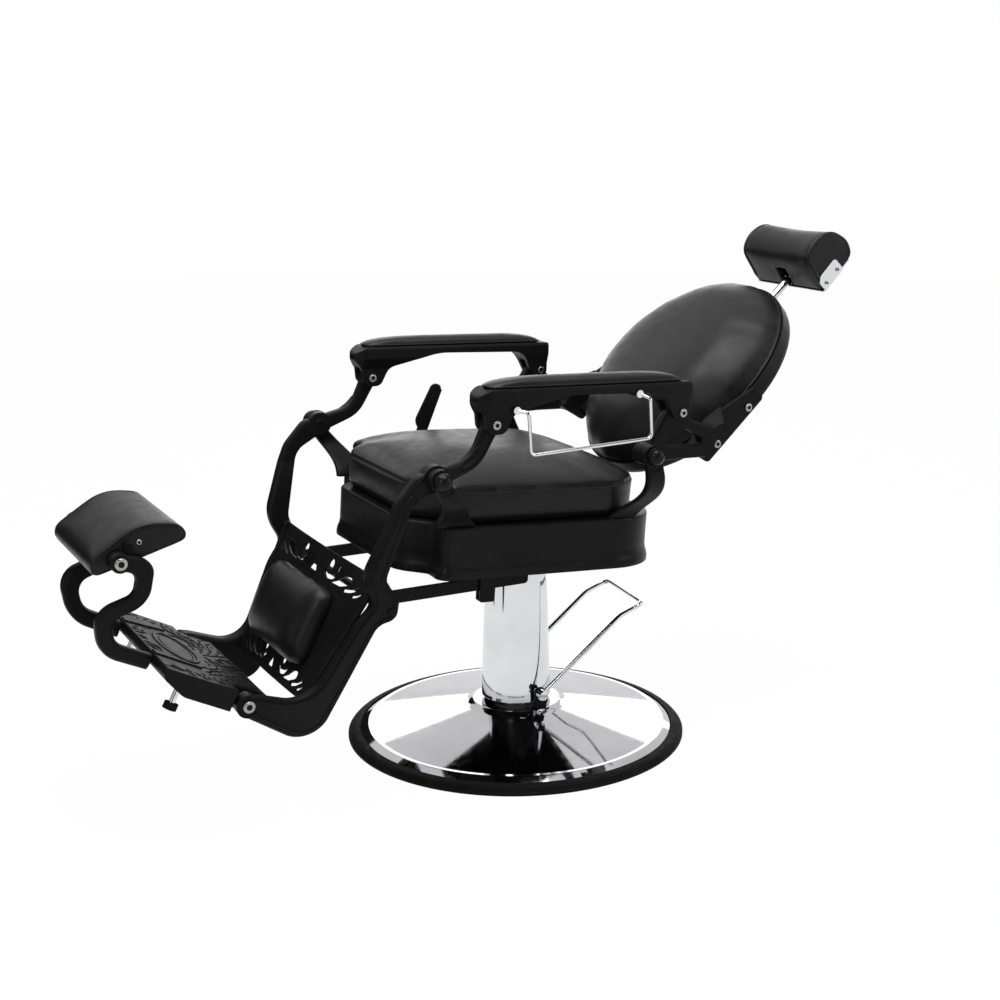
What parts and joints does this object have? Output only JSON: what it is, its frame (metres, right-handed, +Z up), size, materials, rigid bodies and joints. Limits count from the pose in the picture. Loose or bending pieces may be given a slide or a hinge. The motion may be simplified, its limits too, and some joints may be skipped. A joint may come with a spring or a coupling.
{
  "type": "barber chair",
  "caption": "Reclining barber chair on a round chromed pump base, with round padded back, headrest, cast linkage arms, scroll-pierced leg rest, footplate and foot pad.",
  "frame": {"origin": "on the floor under the swivel axis", "axes": "+Z up, sitter faces -X, sitter's left is -Y"},
  "size_m": [1.6332, 0.7, 1.0203],
  "materials": {
    "black_leatherette": "satin grained upholstery",
    "black_casting": "satin black",
    "black_moulding": "satin moulded",
    "chrome": "polished",
    "black_bolt": "gloss black",
    "steel": "plain",
    "iron": "primed",
    "rubber": "matt",
    "plywood": "stained black"
  },
  "bodies": {
    "base": {"floor_ring": "rubber", "base_dome": "chrome", "base_plate": "iron", "pump_body": "steel", "pump_bolts": "steel", "pedal_bracket_left": "black_casting", "pedal_bracket_right": "black_casting", "pedal_bolts": "chrome"},
    "pump_pedal": {"pump_pedal": "chrome"},
    "lift": {"piston": "steel", "column_cover": "chrome"},
    "seat": {"seat_shell": "black_moulding", "seat_board": "plywood", "seat_cushion": "black_leatherette", "mount_plate": "black_casting", "mount_bolts": "steel", "link_guide": "black_casting", "post_front_left": "black_casting", "post_front_right": "black_casting", "post_rear_left": "black_casting", "post_rear_right": "black_casting", "leg_pivot_bolts": "black_bolt", "back_pivot_bolts": "black_bolt"},
    "back": {"back_shell": "black_moulding", "back_cushion": "black_leatherette", "back_bracket_left": "black_casting", "back_bracket_right": "black_casting", "back_screws": "chrome", "headrest_socket": "black_bolt", "headrest_thumbscrew": "black_bolt"},
    "headrest_post": {"headrest_post": "chrome"},
    "headrest": {"headrest_bracket": "chrome", "headrest_hinge_pin": "chrome", "headrest_screws": "chrome", "headrest_cushion": "black_leatherette"},
    "leg": {"leg_frame_left": "black_casting", "leg_frame_right": "black_casting", "calf_panel": "black_casting", "calf_pad": "black_leatherette", "tie_rod": "black_casting"},
    "arm_left": {"arm_left": "black_casting", "arm_pad_left": "black_leatherette", "arm_screws_left": "chrome", "towel_bar": "chrome"},
    "arm_right": {"arm_right": "black_casting", "arm_pad_right": "black_leatherette", "arm_screws_right": "chrome"},
    "footrest": {"footplate": "black_casting", "foot_arm_left": "black_casting", "foot_arm_right": "black_casting", "foot_pivot_bolts": "chrome", "bumper_stems": "chrome", "foot_bumpers": "rubber"},
    "foot_pad": {"foot_pad": "black_leatherette", "foot_pad_board": "plywood", "pad_pivot_bolts": "chrome", "stop_pegs": "rubber"},
    "recline_lever": {"recline_lever": "black_casting"},
    "link": {"link_bar_left": "black_casting", "link_bar_right": "black_casting"}
  },
  "joints": [
    {"name": "pedal_press", "type": "hinge", "parent": "base", "child": "pump_pedal", "pos_m": [0.02283, -0.0028, 0.101], "axis": [0.1219, 0.9925, 0], "range_deg": [0, 20], "stiffness_Nm_per_rad": 8, "springref_deg": -20.05},
    {"name": "lift_slide", "type": "slide", "parent": "base", "child": "lift", "axis": [0, 0, 1], "range_m": [0, 0.15]},
    {"name": "swivel", "type": "hinge", "parent": "lift", "child": "seat", "pos_m": [0, 0, 0.42], "axis": [0, 0, 1], "continuous": true},
    {"name": "recline", "type": "hinge", "parent": "seat", "child": "back", "pos_m": [0.13, 0, 0.632], "axis": [0, -1, 0], "range_deg": [0, 30]},
    {"name": "leg_swing", "type": "hinge", "parent": "seat", "child": "leg", "pos_m": [-0.311, 0, 0.632], "axis": [0, -1, 0], "range_deg": [0, 25]},
    {"name": "arm_left_pivot", "type": "hinge", "parent": "leg", "child": "arm_left", "pos_m": [-0.198, -0.284, 0.721], "axis": [0, -1, 0], "range_deg": [-27, 0]},
    {"name": "arm_right_pivot", "type": "hinge", "parent": "leg", "child": "arm_right", "pos_m": [-0.198, 0.284, 0.721], "axis": [0, -1, 0], "range_deg": [-27, 0]},
    {"name": "link_rock", "type": "hinge", "parent": "leg", "child": "link", "pos_m": [-0.384, 0, 0.386], "axis": [0, -1, 0], "range_deg": [-25, 0]},
    {"name": "footrest_fold", "type": "hinge", "parent": "leg", "child": "footrest", "pos_m": [-0.643, 0, 0.237], "axis": [0, 1, 0], "range_deg": [0, 40]},
    {"name": "foot_pad_tilt", "type": "hinge", "parent": "footrest", "child": "foot_pad", "pos_m": [-0.841, 0, 0.517], "axis": [0, -1, 0], "range_deg": [0, 52]},
    {"name": "headrest_slide", "type": "slide", "parent": "back", "child": "headrest_post", "axis": [0.7373, 0, 0.6756], "range_m": [-0.04, 0.05]},
    {"name": "headrest_tilt", "type": "hinge", "parent": "headrest_post", "child": "headrest", "pos_m": [0.6861, 0, 0.92253], "axis": [0, -1, 0], "range_deg": [0, 30]},
    {"name": "lever_pull", "type": "hinge", "parent": "seat", "child": "recline_lever", "pos_m": [-0.1, 0.26, 0.47], "axis": [0, 1, 0], "range_deg": [0, 15], "stiffness_Nm_per_rad": 3, "springref_deg": -20.05}
  ],
  "couplings": [
    {"joint": "leg_swing", "follows": "recline", "ratio": 0.814},
    {"joint": "arm_left_pivot", "follows": "recline", "ratio": -0.8815},
    {"joint": "arm_right_pivot", "follows": "recline", "ratio": -0.8815},
    {"joint": "link_rock", "follows": "recline", "ratio": -0.814}
  ]
}
